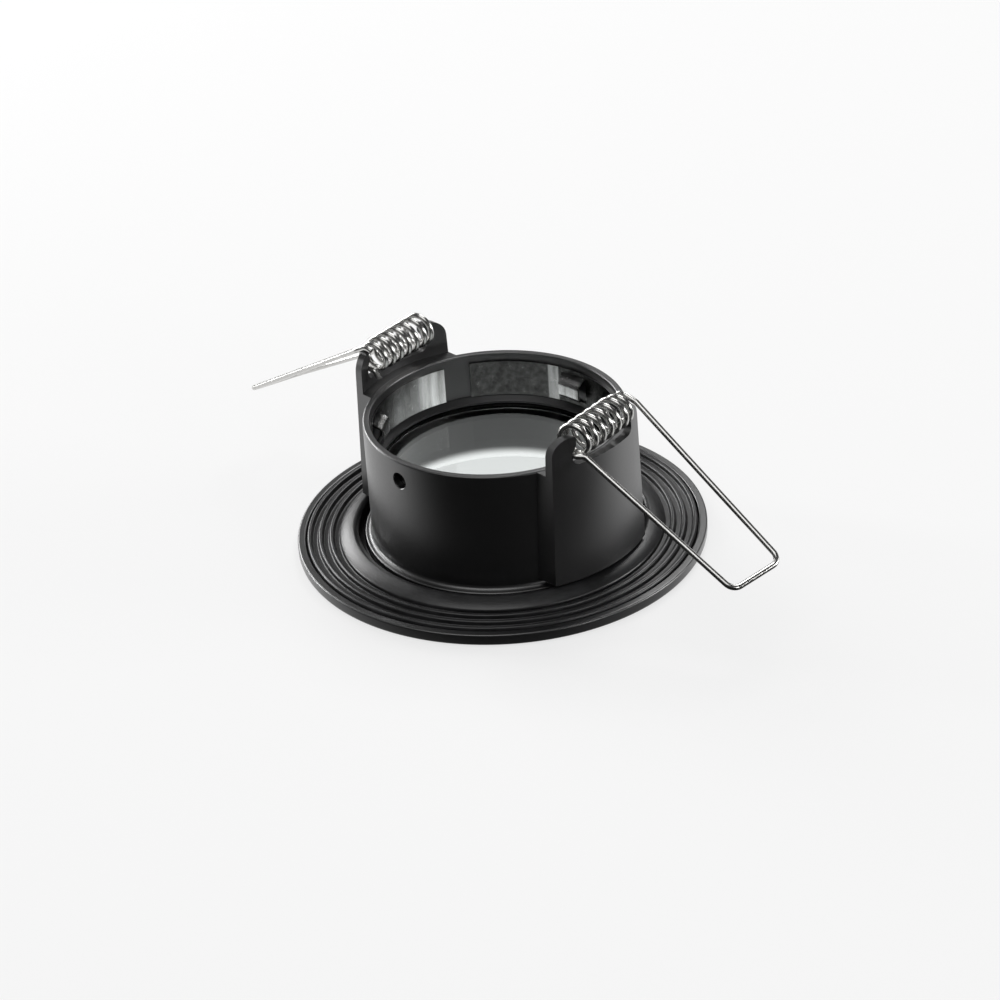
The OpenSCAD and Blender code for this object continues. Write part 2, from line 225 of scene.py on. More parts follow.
def patch_round(tree, place, middle, full, none, most):
    """A share for the strip's face: most within full degrees of middle, and nothing past none degrees."""
    facing = add(tree, "ShaderNodeVectorMath", {0: place, 1: heading(middle) / (STRIP_FACE_R * MM)},
                 operation="DOT_PRODUCT")
    share = add(tree, "ShaderNodeMapRange", {
        "Value": facing.outputs["Value"], "From Min": math.cos(math.radians(none)),
        "From Max": math.cos(math.radians(full)), "To Max": most})
    return share.outputs["Result"]


def painted_reflection_share(tree, place):
    """How far each place on the strip takes painted reflection: most by its end, less beside it, and a
    painted highlight on its tongues.
    """
    # Painted reflections: a bright patch by the strip's end, a wider paler one round it, and one beside the
    # back tongue
    end_reflection = patch_round(tree, place, END_REFLECTION_AT, 7, 10, 0.6)
    pale = patch_round(tree, place, END_REFLECTION_AT, 12, 55, 0.3)
    second = patch_round(tree, place, SECOND_REFLECTION_AT, 2.4, 3.2, 0.45)
    # Only the strip past its gap takes the painted reflection, and not its other end across the gap
    side = add(tree, "ShaderNodeVectorMath", {0: place, 1: heading(STRIP["gap_at"] + 90)},
               operation="DOT_PRODUCT")
    past_gap = add(tree, "ShaderNodeMath", {0: side.outputs["Value"], 1: 0.0}, operation="GREATER_THAN")
    both = add(tree, "ShaderNodeMath", {0: end_reflection, 1: pale}, operation="ADD")
    by_gap = add(tree, "ShaderNodeMath", {0: both.outputs[0], 1: past_gap.outputs[0]}, operation="MULTIPLY")
    level = add(tree, "ShaderNodeVectorMath", {0: place, 1: (1, 1, 0)}, operation="MULTIPLY")
    radius = add(tree, "ShaderNodeVectorMath", {0: level.outputs["Vector"]}, operation="LENGTH")
    # Painted highlight on the tongues, which stand inside the first radius
    tongue_highlight = add(tree, "ShaderNodeMapRange", {
        "Value": radius.outputs["Value"], "From Min": TONGUE_HIGHLIGHT_FROM_R * MM, "From Max": TONGUE_HIGHLIGHT_TO_R * MM,
        "To Max": 0.75})
    patches = add(tree, "ShaderNodeMath", {0: by_gap.outputs[0], 1: second}, operation="MAXIMUM")
    share = add(tree, "ShaderNodeMath", {0: patches.outputs[0], 1: tongue_highlight.outputs["Result"]},
                operation="MAXIMUM")
    return share.outputs[0]


def rolled_strip():
    """Rolled spring steel: a soft mirror with rolling lines along it, dull and stained, with painted
    reflections that make it bright in places.
    """
    material, tree, place = new_material("rolled_spring_steel")
    parts = add(tree, "ShaderNodeSeparateXYZ", {"Vector": place})
    lines = add(tree, "ShaderNodeTexNoise", {"W": parts.outputs["Z"], "Scale": per_metre(0.25),
                                             "Detail": 3.0}, noise_dimensions="1D")
    cloud = add(tree, "ShaderNodeTexNoise", {"Vector": place, "Scale": per_metre(1.4), "Detail": 5.0,
                                             "Roughness": 0.65})
    rough = add(tree, "ShaderNodeMapRange", {"Value": cloud.outputs["Fac"], "To Min": 0.14, "To Max": 0.34})
    stain = add(tree, "ShaderNodeMapRange", {"Value": cloud.outputs["Fac"], "From Min": 0.2,
                                             "From Max": 0.92})
    dull = add(tree, "ShaderNodeMix", {"Factor": stain.outputs["Result"], "A": linear("#101010"),
                                       "B": linear("#727271")}, data_type="RGBA")
    # The painted reflections have bands that stand upright, eight times as tall as they are wide
    across = add(tree, "ShaderNodeVectorMath", {0: place, 1: (1, 1, 1 / 8)}, operation="MULTIPLY")
    bands = add(tree, "ShaderNodeTexNoise", {"Vector": across.outputs[0], "Scale": per_metre(3.0),
                                             "Detail": 3.0})
    streak_share = add(tree, "ShaderNodeMapRange", {"Value": bands.outputs["Fac"], "From Min": 0.35,
                                             "From Max": 0.6})
    bright = add(tree, "ShaderNodeMix", {"Factor": streak_share.outputs["Result"], "A": linear("#a8a8a6"),
                                         "B": linear("#ffffff")}, data_type="RGBA")
    # The dull steel turns to the bright colour where the painted reflections and highlights lie
    tint = add(tree, "ShaderNodeMix", {"Factor": painted_reflection_share(tree, place), "A": dull.outputs["Result"],
                                       "B": bright.outputs["Result"]}, data_type="RGBA")
    bump = add(tree, "ShaderNodeBump", {"Height": lines.outputs["Fac"], "Distance": 0.004 * MM,
                                        "Strength": 0.5})
    shader = add(tree, "ShaderNodeBsdfPrincipled", {
        "Base Color": tint.outputs["Result"], "Metallic": 1.0, "Roughness": rough.outputs["Result"],
        "Normal": bump.outputs["Normal"]})
    return finish_material(material, tree, shader)


# Painted shade on the cone: its colour goes from pale at the first height to dark at the second, towards the
# lens
SHADE_FROM_Z, SHADE_TO_Z = 0.8, 4.5


def anodised_cone():
    """Satin anodised aluminium, spun: fine rings from the tool all round the cone, and painted shade that
    darkens it towards its neck.
    """
    material, tree, place = new_material("satin_anodised_aluminium")
    parts = add(tree, "ShaderNodeSeparateXYZ", {"Vector": place})
    rings = add(tree, "ShaderNodeTexNoise", {"W": parts.outputs["Z"], "Scale": per_metre(0.3),
                                             "Detail": 2.0}, noise_dimensions="1D")
    rough = add(tree, "ShaderNodeMapRange", {"Value": rings.outputs["Fac"], "To Min": 0.34, "To Max": 0.46})
    bump = add(tree, "ShaderNodeBump", {"Height": rings.outputs["Fac"], "Distance": 0.006 * MM,
                                        "Strength": 0.5})
    # Painted shade: the cone is pale by the front and dark towards the lens
    painted_shade = add(tree, "ShaderNodeMapRange", {
        "Value": parts.outputs["Z"], "From Min": SHADE_FROM_Z * MM, "From Max": SHADE_TO_Z * MM},
        interpolation_type="SMOOTHSTEP")
    tint = add(tree, "ShaderNodeMix", {"Factor": painted_shade.outputs["Result"], "A": linear("#fafafa"),
                                       "B": linear("#525252")}, data_type="RGBA")
    shader = add(tree, "ShaderNodeBsdfPrincipled", {
        "Base Color": tint.outputs["Result"], "Metallic": 1.0, "Roughness": rough.outputs["Result"],
        "Normal": bump.outputs["Normal"]})
    return finish_material(material, tree, shader)


def clear_glass():
    """Clear float glass: colourless, with a hint of wave that only bends its reflections."""
    material, tree, place = new_material("clear_float_glass")
    wave = add(tree, "ShaderNodeTexNoise", {"Vector": place, "Scale": per_metre(14), "Detail": 1.0})
    bump = add(tree, "ShaderNodeBump", {"Height": wave.outputs["Fac"], "Distance": 0.01 * MM,
                                        "Strength": 0.3})
    shader = add(tree, "ShaderNodeBsdfPrincipled", {
        "Base Color": linear("#f4f8f7"), "Roughness": 0.0, "IOR": 1.52, "Transmission Weight": 1.0,
        "Normal": bump.outputs["Normal"]})
    return finish_material(material, tree, shader)


# Pieces

# Points closer together than this, in millimetres, are merged
MERGE = 0.0005
# A face this many times larger than the rounding beside it stays flat, past this angle between them
FLAT_SHARE = 6
FLAT_ANGLE = math.radians(3)
# Steps in a full turn
SPIN_STEPS = 180
CAN_STEPS = 192


def shades_smoothly(edge, limit):
    """False at a sharp edge, and where a small rounding meets a large flat face, which stays flat."""
    angle = edge.calc_face_angle(0)
    small, large = sorted(face.calc_area() for face in edge.link_faces)[:2]
    return angle < limit and (large < FLAT_SHARE * small or angle < FLAT_ANGLE)


def finish_piece(name, bm, material, body, node, smooth_angle=35):
    """Makes a piece of a bmesh in millimetres: it stands for a node, and rides a body if one is given."""
    bmesh.ops.remove_doubles(bm, verts=bm.verts, dist=MERGE)
    bmesh.ops.recalc_face_normals(bm, faces=bm.faces)
    bmesh.ops.scale(bm, verts=bm.verts, vec=(MM, MM, MM))
    for face in bm.faces:
        face.smooth = True
    for edge in bm.edges:
        edge.smooth = len(edge.link_faces) < 2 or shades_smoothly(edge, math.radians(smooth_angle))
    mesh = bpy.data.meshes.new(name)
    bm.to_mesh(mesh)
    bm.free()
    mesh.materials.append(material)
    piece = bpy.data.objects.new(name, mesh)
    bpy.context.scene.collection.objects.link(piece)
    if body:
        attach(piece, body)
    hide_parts(node)
    return piece


def smooth_step(value):
    """Rises from 0 to 1 as value does, with level ends."""
    value = min(max(value, 0), 1)
    return value * value * (3 - 2 * value)


def round_corner(bm, vert, rounding, segments):
    """Rounds one corner of an outline."""
    bmesh.ops.bevel(bm, geom=[vert], offset=rounding, offset_type="OFFSET", segments=segments, profile=0.5,
                    affect="VERTICES", material=-1)


def cut(bm, place, across):
    """Cuts every face and edge at a plane, and keeps both sides."""
    bmesh.ops.bisect_plane(bm, geom=bm.verts[:] + bm.edges[:] + bm.faces[:], dist=1e-5, plane_co=place,
                           plane_no=across)


def spun(corners, steps=SPIN_STEPS, closed=True):
    """Spins a profile about Z. Each corner is (radius, height, rounding)."""
    bm = bmesh.new()
    verts = [bm.verts.new((r, 0, z)) for r, z, _ in corners]
    for start, end in zip(verts, verts[1:] + (verts[:1] if closed else [])):
        bm.edges.new((start, end))
    for vert, (_, _, rounding) in zip(verts, corners):
        if rounding:
            round_corner(bm, vert, rounding, 4)
    bmesh.ops.spin(bm, geom=bm.verts[:] + bm.edges[:], cent=(0, 0, 0), axis=(0, 0, 1), angle=2 * math.pi,
                   steps=steps, use_merge=True)
    return bm


# The cast housing: can, foot and trim are spun, and the ears stand on the can

# The cone's outer face, from its flare by the front to its neck by the lens, and its room in the housing
FLARE_R, BEND_R, NECK_R = 29.05, 26.4, 23.1
BEND_Z = 4.4
CONE_ROOM = 0.1

SIDE_HOLE_R = 1.7
SIDE_HOLE_Z = RIM_Z - 4.5
SIDE_HOLE_CHAMFER = 0.18
# Half the patch of wall that is opened round the hole: its height, and its width in steps of the spin
PATCH_HEIGHT = 2.7
PATCH_STEPS = 3


def can_and_trim():
    """The casting's profile runs out over the trim, up the can, and down its bore to the cone's recess."""
    return spun([
        (RECESS_R, 0, 0.1),
        (TRIM_R, 0, 1.0),
        (TRIM_R, TRIM_Z, 0.35),
        (CHANNEL_R, TRIM_Z, 0.3),
        (CHANNEL_R, CHANNEL_Z, 0.15),
        (FOOT_R, CHANNEL_Z, 0.15),
        (FOOT_R, FOOT_Z, 0.35),
        (CAN_R, FOOT_Z, 0.85),
        (CAN_R, RIM_Z, 0.35),
        (BORE_R, RIM_Z, 0.3),
        (BORE_R, SEAT_Z, 0.1),
        (SEAT_R, SEAT_Z, 0.15),
        (SEAT_R, SEAT_LOW_Z, 0.1),
        (NECK_R + CONE_ROOM, SEAT_LOW_Z, 0),
        (BEND_R + CONE_ROOM, BEND_Z, 0),
        (FLARE_R + CONE_ROOM, RECESS_Z, 0),
        (RECESS_R, RECESS_Z, 0),
    ], steps=CAN_STEPS)


def ring_on_wall(bm, wall_r, hole_r, count=32):
    """A circle of edges round the side hole's axis, laid on a wall of radius wall_r."""
    made = bmesh.ops.create_circle(bm, segments=count, radius=hole_r,
                                   matrix=Matrix.Translation((0, 0, SIDE_HOLE_Z))
                                   @ Matrix.Rotation(math.pi / 2, 4, "X"))
    for vert in made["verts"]:
        vert.co.y = -math.sqrt(wall_r ** 2 - vert.co.x ** 2)
    return list({e for v in made["verts"] for e in v.link_edges})


def drill_side_hole(bm):
    """Opens a patch of the can's wall, inside and outside, and fills it round the hole."""
    for z in (SIDE_HOLE_Z - PATCH_HEIGHT, SIDE_HOLE_Z + PATCH_HEIGHT):
        cut(bm, (0, 0, z), (0, 0, 1))
    half_angle = PATCH_STEPS * 2 * math.pi / CAN_STEPS
    gone = []
    for face in bm.faces:
        middle = face.calc_center_median()
        if (middle.y < 0 and abs(math.atan2(middle.x, -middle.y)) < half_angle
                and abs(middle.z - SIDE_HOLE_Z) < PATCH_HEIGHT):
            gone.append(face)
    rims = {e for f in gone for e in f.edges if any(g not in gone for g in e.link_faces)}
    outer = [e for e in rims if math.hypot(*e.verts[0].co.xy) > (BORE_R + CAN_R) / 2]
    inner = [e for e in rims if e not in outer]
    bmesh.ops.delete(bm, geom=gone, context="FACES")
    mouth = ring_on_wall(bm, CAN_R, SIDE_HOLE_R + SIDE_HOLE_CHAMFER)
    throat = ring_on_wall(bm, CAN_R - SIDE_HOLE_CHAMFER, SIDE_HOLE_R)
    back = ring_on_wall(bm, BORE_R, SIDE_HOLE_R)
    for one, other in ((outer, mouth), (mouth, throat), (throat, back), (back, inner)):
        bmesh.ops.bridge_loops(bm, edges=one + other)


# The ear: a plate that leans in as it rises, on a root that joins the can below the ledge
EAR_DRAFT = math.tan(math.radians(2.1))
EAR_HALF_Z = EAR_TOP - 3.8
FACE_DRAFT = math.tan(math.radians(1.1))
PLATE_INNER_R = EAR_R - 1.6
ROOT_INNER_R = CAN_R - 0.6
LEDGE_Z = RIM_Z - 0.15
# Its notch takes the coil, and narrows by two hooks near the top
NOTCH = {"floor": COIL_Z - COIL_R - WIRE_R - 1.35, "near": -8.0, "far": 9.35, "hook": 2.3, "slope": 0.9,
         "reach": 0.95}
# It is cut into strips to bend round the can
EAR_STRIP = 1.2
EAR_CUTS = 9


def ear_corners():
    """The ear's outline in its own plane, as (across, height, rounding)."""
    grow = EAR_DRAFT * (EAR_HALF_Z - EAR_FOOT)
    hook_z = EAR_TOP - NOTCH["hook"]
    near, far, reach = NOTCH["near"], NOTCH["far"], NOTCH["reach"]
    return [
        (-EAR_HALF - grow, EAR_FOOT, 0),
        (EAR_HALF + grow, EAR_FOOT, 0),
        (EAR_HALF, EAR_TOP, 3.6),
        (far - reach, EAR_TOP, 0.5),
        (far - reach, hook_z, 0.6),
        (far, hook_z - NOTCH["slope"], 0.8),
        (far, NOTCH["floor"], 1.5),
        (near, NOTCH["floor"], 1.5),
        (near, hook_z - NOTCH["slope"], 0.8),
        (near + reach, hook_z, 0.6),
        (near + reach, EAR_TOP, 0.5),
        (-EAR_HALF, EAR_TOP, 3.6),
    ]


def layer_from(bm, faces, x):
    """Extrudes faces and moves the copy to the layer at x."""
    made = bmesh.ops.extrude_face_region(bm, geom=faces)
    for vert in [g for g in made["geom"] if isinstance(g, bmesh.types.BMVert)]:
        vert.co.x = x


def bend_round_can(bm, front, root):
    """Bends the flat layers of an ear: its front, its plate's inner face, and its root's inner face."""
    for vert in bm.verts:
        if vert.co.x > front / 2:
            radius = EAR_R + FACE_DRAFT * (EAR_TOP - vert.co.z)
        elif vert.co.x > root / 2:
            radius = PLATE_INNER_R
        else:
            radius = ROOT_INNER_R
        vert.co.x = math.sqrt(radius ** 2 - vert.co.y ** 2)


def make_ear():
    """One ear: its outline is cut into strips, thickened, bent round the can and rounded at its edges."""
    bm = bmesh.new()
    corners = ear_corners()
    verts = [bm.verts.new((0, y, z)) for y, z, _ in corners]
    bm.faces.new(verts)
    for vert, (_, _, rounding) in zip(verts, corners):
        if rounding:
            round_corner(bm, vert, rounding, 6)
    for i in range(-EAR_CUTS, EAR_CUTS + 1):
        cut(bm, (0, i * EAR_STRIP, 0), (0, 1, 0))
    cut(bm, (0, 0, LEDGE_Z), (0, 0, 1))
    front, root = 2, -2
    layer_from(bm, bm.faces[:], front)
    low = [f for f in bm.faces if all(abs(v.co.x) < MERGE for v in f.verts)
           and f.calc_center_median().z < LEDGE_Z]
    layer_from(bm, low, root)
    bmesh.ops.delete(bm, geom=[f for f in low if f.is_valid], context="FACES")
    bend_round_can(bm, front, root)
    bmesh.ops.recalc_face_normals(bm, faces=bm.faces)
    for least_r, rounding in ((EAR_R - 0.2, 0.7), (CAN_R + 0.3, 0.3)):
        sharp = [e for e in bm.edges if len(e.link_faces) == 2
                 and e.calc_face_angle(0) > math.radians(40)
                 and min(math.hypot(*v.co.xy) for v in e.verts) > least_r]
        bmesh.ops.bevel(bm, geom=sharp, offset=rounding, offset_type="OFFSET", segments=4, profile=0.5,
                        affect="EDGES", clamp_overlap=True, material=-1)
    bmesh.ops.remove_doubles(bm, verts=bm.verts, dist=10 * MERGE)
    return bm


def merge(bm, part):
    """Adds part to bm, and frees part."""
    mesh = bpy.data.meshes.new("part")
    part.to_mesh(mesh)
    part.free()
    bm.from_mesh(mesh)
    bpy.data.meshes.remove(mesh)


def make_housing(material):
    bm = can_and_trim()
    bmesh.ops.remove_doubles(bm, verts=bm.verts, dist=MERGE)
    drill_side_hole(bm)
    for angle in (0, math.pi):
        ear = make_ear()
        bmesh.ops.rotate(ear, verts=ear.verts, cent=(0, 0, 0), matrix=Matrix.Rotation(angle, 3, "Z"))
        merge(bm, ear)
    return finish_piece("cast_housing", bm, material, "root", "housing")


# The gasket: ribs on a thin web, outside a collar that slopes up to the can
GASKET = {"inner": FOOT_R + 1.3, "outer": CHANNEL_R - 0.2, "collar": 4.2, "web": 2.1, "collar_foot": 2.85,
          "collar_bend": 3.7, "collar_top": 4.4, "lip": 3.85}
RIBS = {"count": 3, "top": 3.1, "half_top": 0.4, "half_foot": 0.6, "shift": 0.72}


def make_gasket(material):
    inner, outer, web = GASKET["inner"], GASKET["outer"], GASKET["web"]
    collar = inner + GASKET["collar"]
    pitch = (outer - collar) / RIBS["count"]
    corners = [(inner, CHANNEL_Z, 0.1), (outer, CHANNEL_Z, 0.1), (outer, web, 0.15)]
    for i in reversed(range(RIBS["count"])):
        middle = collar + (i + RIBS["shift"]) * pitch
        corners += [
            (middle + RIBS["half_foot"], web, 0.2),
            (middle + RIBS["half_top"], RIBS["top"], 0.28),
            (middle - RIBS["half_top"], RIBS["top"], 0.28),
            (middle - RIBS["half_foot"], web, 0.2),
        ]
    corners += [
        (collar, web, 0.2),
        (collar, GASKET["collar_foot"], 0.3),
        (collar - 1.2, GASKET["collar_bend"], 0.9),
        (inner + 0.8, GASKET["collar_top"], 0.5),
        (inner, GASKET["lip"], 0.25),
    ]
    return finish_piece("rubber_gasket", spun(corners), material, "root", "ceiling_gasket")


CONE_PLAY = 0.08
CONE_WALL = 0.5


def make_reflector(material):
    """The spun cone, with a flat edge that lies in the housing's recess."""
    edge_r, edge_z, top = RECESS_R - CONE_PLAY, RECESS_Z - CONE_PLAY, SEAT_LOW_Z - CONE_PLAY
    bm = spun([
        (FLARE_R - CONE_WALL, CONE_PLAY, 0.15),
        (edge_r, CONE_PLAY, 0.2),
        (edge_r, edge_z, 0.1),
        (FLARE_R, edge_z, 0.2),
        (BEND_R, BEND_Z, 0.4),
        (NECK_R, top, 0.1),
        (NECK_R - CONE_WALL, top, 0.1),
        (BEND_R - CONE_WALL, BEND_Z, 0.5),
    ])
    return finish_piece("spun_reflector", bm, material, "root", "front_reflector")


def make_lens(material):
    bottom, top = (corner[2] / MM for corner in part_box("glass_lens"))
    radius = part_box("glass_lens")[1][0] / MM
    bm = spun([
        (0, bottom, 0),
        (radius, bottom, 0.3),
        (radius, top, 0.3),
        (0, top, 0),
    ], closed=False)
    return finish_piece("glass_disc", bm, material, "root", "glass_lens")


# The seal: a ring round the glass, with a lip that slopes in over the glass's edge
SEAL = {"inner": 25.05, "outer": 25.95, "top": 19.8, "lip": 24.3, "lip_top": 18.85, "lip_low": 18.35}


def make_seal(material):
    bm = spun([
        (SEAL["inner"], SEAT_Z, 0.1),
        (SEAL["outer"], SEAT_Z, 0.1),
        (SEAL["outer"], SEAL["top"], 0.2),
        (SEAL["lip"], SEAL["lip_top"], 0.2),
        (SEAL["lip"], SEAL["lip_low"], 0.1),
        (SEAL["inner"], SEAL["lip_low"], 0.05),
    ])
    return finish_piece("lens_seal_ring", bm, material, "root", "lens_seal")


# The retainer: a strip bent to an open ring, with tongues bent in at its windows. Angles are in degrees

STRIP = {"low": 19.85, "high": 27.85, "r": 25.75, "thick": 0.4, "gap_at": 154.5, "gap": 13.0, "play": 0.05}
TONGUES = {"count": 3, "first": 94.5, "half_window": 7.5, "half": 6.5, "low": 21.0, "free": 21.8,
           "high": 26.6, "inward": 2.0, "bend": 1.5, "curl": 0.6, "curl_bend": 1.0, "cuts": 12}


def make_retainer(material):
    bm = bmesh.new()
    start = STRIP["gap_at"] + STRIP["gap"] / 2
    edge = bm.edges.new([bm.verts.new((STRIP["r"], 0, z)) for z in (STRIP["low"], STRIP["high"])])
    bmesh.ops.rotate(bm, verts=bm.verts, cent=(0, 0, 0), matrix=Matrix.Rotation(math.radians(start), 3, "Z"))
    sweep = 360 - STRIP["gap"]
    bmesh.ops.spin(bm, geom=edge.verts[:] + [edge], cent=(0, 0, 0), axis=(0, 0, 1),
                   angle=math.radians(sweep), steps=int(sweep))
    span = TONGUES["high"] - TONGUES["free"]
    for z in [TONGUES["low"]] + [TONGUES["free"] + span * i / TONGUES["cuts"]
                                 for i in range(TONGUES["cuts"] + 1)]:
        cut(bm, (0, 0, z), (0, 0, 1))
    for i in range(TONGUES["count"]):
        lance_tongue(bm, TONGUES["first"] + i * 360 / TONGUES["count"])
    bmesh.ops.recalc_face_normals(bm, faces=bm.faces)
    bmesh.ops.solidify(bm, geom=bm.faces[:], thickness=STRIP["thick"])
    fit_in_bore(bm)
    return finish_piece("retainer_ring", bm, material, "root", "lamp_retainer", 30)


def fit_in_bore(bm):
    """Moves the strip so that its outer face lies just inside the bore, whichever way it was thickened."""
    reach = max(math.hypot(*v.co.xy) for v in bm.verts)
    shift = BORE_R - STRIP["play"] - reach
    for vert in bm.verts:
        radius = math.hypot(*vert.co.xy)
        vert.co.xy *= (radius + shift) / radius


def lance_tongue(bm, middle):
    """Frees a tongue at its sides and foot, and joggles it inwards below its root, with a curl at its end."""
    tongue, window = [], []
    for face in bm.faces:
        centre = face.calc_center_median()
        across = (math.degrees(math.atan2(centre.y, centre.x)) - middle + 180) % 360 - 180
        if abs(across) > TONGUES["half_window"] or not TONGUES["low"] < centre.z < TONGUES["high"]:
            continue
        (tongue if abs(across) < TONGUES["half"] and centre.z > TONGUES["free"] else window).append(face)
    bmesh.ops.delete(bm, geom=window, context="FACES")
    for vert in {v for f in tongue for v in f.verts}:
        inward = TONGUES["inward"] * smooth_step((TONGUES["high"] - vert.co.z) / TONGUES["bend"])
        past_end = TONGUES["free"] + TONGUES["curl_bend"] - vert.co.z
        inward -= TONGUES["curl"] * smooth_step(past_end / TONGUES["curl_bend"])
        vert.co.xy *= 1 - inward / STRIP["r"]


# The wire clips: each coil winds between the housing and its bail, and the bail swings with the clip.
# A clip's own lines run outwards from its coil's axis, along the axis, and up from it

# The coil: where its first turn is outermost, how its end turns crowd together, and how its far end draws in
COIL = {"turns": 7, "pitch": 2.57, "outermost": 0.75, "first": -6.5, "near_crowd": 0.95, "near_reach": 0.35,
        "far_crowd": 0.8, "far_reach": 0.6, "draw_in": 0.45, "draw_turns": 1.5}
COIL_STEPS = 40
TAIL = ((-0.9, 0.1, 0), (-2.2, 0.15, -1.6))
TAIL_BEND = 0.7
# The coil rides no body: it stays where it is built
# The bail: it starts over the ear's post, in degrees round the coil, and has corners with roundings
SADDLE_ALONG = 9.78
SADDLE_ANGLES = (118, 108, 98, 88, 78)
POST_TOP = (2.95, 10.14, 1.55)
BAIL_FAR = (40.44, 5.38, -20.55)
BAIL_NEAR = (37.81, -7.39, -21.66)
BAIL_EXIT = (2.3, -6.45, -3.28)
BAIL_INTO_COIL = (0.9, 0.05, 0)
BAIL_BENDS = (1.6, 2.2, 2.2, 1.3, 0.9)
WIRE_SIDES = 14
WIRE_SMOOTH_ANGLE = 60


def coil_point(turn):
    """A place on the coil, in turns from where the bail's near leg leaves it."""
    to_end = turn - COIL["turns"]
    along = (COIL["first"] + COIL["pitch"] * (turn - COIL["outermost"])
             + COIL["near_crowd"] * math.exp(-turn / COIL["near_reach"])
             - COIL["far_crowd"] * math.exp(to_end / COIL["far_reach"]))
    angle = 2 * math.pi * turn
    radius = COIL_R - COIL["draw_in"] * smooth_step(to_end / COIL["draw_turns"] + 1)
    return Vector((-radius * math.sin(angle), along, -radius * math.cos(angle)))


def rounded(points, radii, steps=8):
    """A path through points with each inner corner rounded to its radius."""
    path = [Vector(points[0])]
    for before, corner, after, radius in zip(points, points[1:], points[2:], radii):
        corner = Vector(corner)
        back, on = (Vector(before) - corner).normalized(), (Vector(after) - corner).normalized()
        half = back.angle(on) / 2
        centre = corner + (back + on).normalized() * radius / math.sin(half)
        across = (corner - centre).normalized()
        side = (back - back.dot(across) * across).normalized()
        for i in range(steps + 1):
            turn = (math.pi / 2 - half) * (1 - 2 * i / steps)
            path.append(centre + radius * (math.cos(turn) * across + math.sin(turn) * side))
    return path + [Vector(points[-1])]


def on_clip(point, left):
    """From a clip's own lines to the object's frame."""
    place = Matrix.Translation((COIL_X, 0, COIL_Z)) @ Matrix.Rotation(CLIP_SKEW, 4, "Z") @ Vector(point)
    return Matrix.Rotation(math.pi if left else 0, 4, "Z") @ place


def wire(path, left):
    """A round wire: a circle that is extruded from point to point of a path, and turned with it."""
    points = [on_clip(point, left) for point in path]
    legs = [(after - before).normalized() for before, after in zip(points, points[1:])]
    ways = legs[:1] + [(a + b).normalized() for a, b in zip(legs, legs[1:])] + legs[-1:]
    bm = bmesh.new()
    bmesh.ops.create_circle(bm, cap_ends=True, segments=WIRE_SIDES, radius=WIRE_R,
                            matrix=Matrix.Translation(points[0])
                            @ ways[0].to_track_quat("Z", "X").to_matrix().to_4x4())
    ring = bm.edges[:]
    for i in range(len(points) - 1):
        made = bmesh.ops.extrude_edge_only(bm, edges=ring)["geom"]
        verts = {g for g in made if isinstance(g, bmesh.types.BMVert)}
        ring = [g for g in made if isinstance(g, bmesh.types.BMEdge) and verts.issuperset(g.verts)]
        turn = ways[i].rotation_difference(ways[i + 1]).to_matrix().to_4x4()
        step = Matrix.Translation(points[i + 1]) @ turn @ Matrix.Translation(-points[i])
        bmesh.ops.transform(bm, matrix=step, verts=list(verts))
    bmesh.ops.edgeloop_fill(bm, edges=ring)
    return bm


def make_clip(side, left, material):
    body = f"{side}_clip"
    coil = [coil_point(i / COIL_STEPS) for i in range(COIL_STEPS * COIL["turns"] + 1)]
    near, far = coil[0], coil[-1]
    tail = rounded([far] + [far + Vector(place) for place in TAIL], [TAIL_BEND], 6)
    piece = finish_piece(f"{side}_coil", wire(coil + tail[1:], left), material, None, f"{side}_spring",
                         WIRE_SMOOTH_ANGLE)
    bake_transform(piece)

    saddle_r = COIL_R - COIL["draw_in"]
    saddle = [Vector((saddle_r * math.cos(angle), SADDLE_ALONG, saddle_r * math.sin(angle)))
              for angle in map(math.radians, SADDLE_ANGLES)]
    corners = [saddle[-1], POST_TOP, BAIL_FAR, BAIL_NEAR, BAIL_EXIT, near + Vector(BAIL_INTO_COIL), near]
    bail = saddle + rounded(corners, BAIL_BENDS)[1:]
    finish_piece(f"{side}_bail_wire", wire(bail, left), material, body, f"{side}_bail",
                 WIRE_SMOOTH_ANGLE)


# Floor, world and lights

WORLD_IN_GLOSS = 0.05
WORLD_SOFT = 0.30
PALE = "#f1f1f1"
FLOOR_HALF = 6
FLOOR_Z = -0.1 * MM
# To the camera this share of the floor glows, and the rest is lit paper that takes the shadow
FLOOR_GLOW = 0.8
# What mirrors the floor sees it dim before the object and bright behind it, with a soft edge between
FLOOR_BACKWARDS = (-0.734, 0.679, 0)
FLOOR_EDGE = (-0.050, -0.005)
FLOOR_IN_GLOSS = (0.015, 1.25)
# Each soft box: its direction from the object, distance, width and height in metres, and power in watts
SOFT_BOXES = {
    "left_back": ((-0.90, 0.12, 0.42), 1.0, 0.4, 0.4, 6),
    "back_high": ((-0.30, 0.62, 0.80), 1.0, 0.4, 0.4, 5),
    "left_low": ((-0.93, -0.36, 0.12), 1.0, 0.12, 0.7, 8),
    "right_back_low": ((0.72, 0.69, 0.18), 1.0, 0.4, 0.4, 7),
    "right_low": ((0.95, 0.0, 0.22), 1.0, 0.3, 0.3, 2),
    "front_high": ((0.2, -0.5, 1.1), 1.2, 0.9, 0.9, 6),
}


